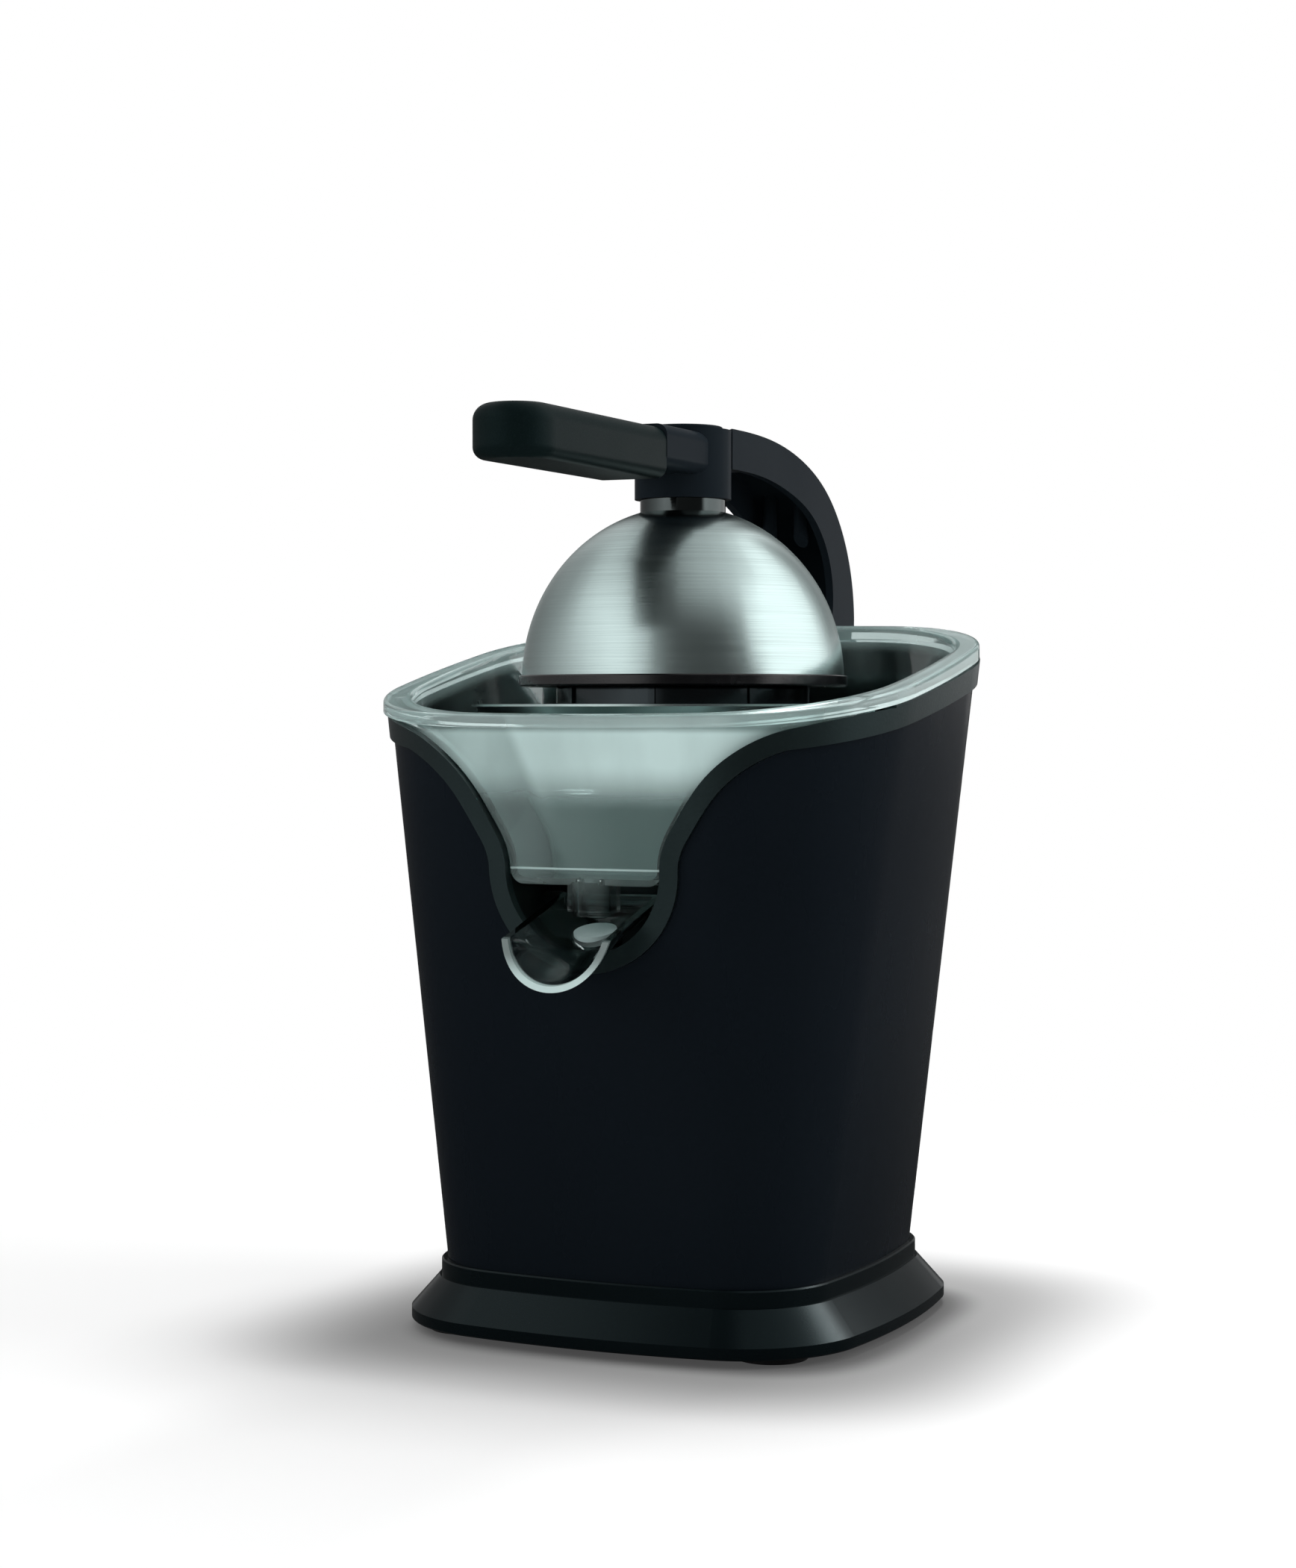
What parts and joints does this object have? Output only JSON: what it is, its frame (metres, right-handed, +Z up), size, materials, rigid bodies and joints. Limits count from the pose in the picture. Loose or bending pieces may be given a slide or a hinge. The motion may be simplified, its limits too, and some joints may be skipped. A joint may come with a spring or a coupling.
{
  "type": "lever citrus juice press",
  "caption": "Electric citrus press: a steel dome on a hinged lever arm presses fruit onto a turning reamer over a clear bowl with a tilting spout.",
  "frame": {"origin": "on the table, at the level of the feet's undersides, under the reamer spindle's axis", "axes": "+Z up along the reamer spindle, -Y towards the spout, X along the lever's hinge"},
  "size_m": [0.2016, 0.2807, 0.3196],
  "materials": {
    "body_gloss": "gloss black moulding",
    "trim_satin": "satin dark grey moulding",
    "base_satin": "satin black moulding",
    "black_rubber": "dull black rubber",
    "plug_silicone": "milky silicone rubber",
    "screw_steel": "plain machined steel",
    "dome_steel": "brushed stainless sheet",
    "neck_chrome": "bright chrome plating",
    "smoke_clear": "clear smoke-tinted plastic",
    "tub_black": "satin black moulding",
    "gear_white": "plain white gear plastic",
    "bearing_brass": "turned brass",
    "reamer_black": "black moulding",
    "lever_gloss": "gloss dark blue-grey moulding",
    "grip_soft": "soft-touch dark green-grey coat"
  },
  "bodies": {
    "base": {"body_shell": "body_gloss", "trim_frame": "trim_satin", "base_skirt": "base_satin", "bottom_plate": "base_satin", "rubber_feet": "black_rubber", "base_screws": "screw_steel", "inner_tub": "tub_black", "spout_niche": "tub_black", "spout_pin": "screw_steel", "juice_bowl": "smoke_clear", "strainer_dish": "dome_steel", "idler_axle": "screw_steel", "motor_can": "screw_steel", "gearbox_base": "tub_black", "gearbox_cover": "tub_black", "gearbox_screws": "screw_steel", "output_bearing": "bearing_brass", "start_switch": "tub_black", "spindle_bush": "bearing_brass", "shaft_seal": "black_rubber", "hinge_bracket": "lever_gloss", "hinge_pin": "screw_steel", "hinge_screws": "screw_steel", "cord_gland": "black_rubber", "gland_nut": "tub_black"},
    "lever": {"press_dome": "dome_steel", "dome_seal": "black_rubber", "dome_neck": "neck_chrome", "dome_stud": "screw_steel", "lever_hub": "lever_gloss", "hub_cap": "lever_gloss", "handle_grip": "grip_soft", "grip_underside": "grip_soft", "handle_core": "screw_steel", "lever_arm": "lever_gloss"},
    "spout": {"spout_scoop": "smoke_clear", "drip_plug": "plug_silicone"},
    "drive_gear": {"output_gear": "gear_white", "return_spring": "screw_steel"},
    "reamer": {"drive_spindle": "screw_steel", "reamer_cone": "reamer_black"},
    "idler": {"idler_gear": "gear_white"},
    "motor_rotor": {"motor_pinion": "bearing_brass"},
    "plunger": {"switch_plunger": "gear_white"}
  },
  "joints": [
    {"name": "lever_hinge", "type": "hinge", "parent": "base", "child": "lever", "pos_m": [0, 0.118, 0.212], "axis": [-1, 0, 0], "range_deg": [0, 80]},
    {"name": "spout_tilt", "type": "hinge", "parent": "base", "child": "spout", "pos_m": [0, -0.057, 0.1515], "axis": [-1, 0, 0], "range_deg": [0, 14]},
    {"name": "cone_spin", "type": "hinge", "parent": "base", "child": "drive_gear", "pos_m": [0, 0, 0.16], "axis": [0, 0, 1], "continuous": true},
    {"name": "cone_press", "type": "slide", "parent": "drive_gear", "child": "reamer", "axis": [0, 0, -1], "range_m": [0, 0.0025], "stiffness_N_per_m": 2000, "springref_m": -0.002, "deforming": ["return_spring"]},
    {"name": "idler_spin", "type": "hinge", "parent": "base", "child": "idler", "pos_m": [0.02598, 0.015, 0.151], "axis": [0, 0, 1], "continuous": true},
    {"name": "motor_spin", "type": "hinge", "parent": "base", "child": "motor_rotor", "pos_m": [0.01658, 0.04084, 0.151], "axis": [0, 0, 1], "continuous": true},
    {"name": "plunger_slide", "type": "slide", "parent": "base", "child": "plunger", "axis": [0, 0, -1], "range_m": [0, 0.0025]}
  ],
  "couplings": [
    {"joint": "idler_spin", "follows": "cone_spin", "ratio": -4},
    {"joint": "motor_spin", "follows": "cone_spin", "ratio": 16},
    {"joint": "plunger_slide", "follows": "cone_press", "ratio": 1}
  ]
}
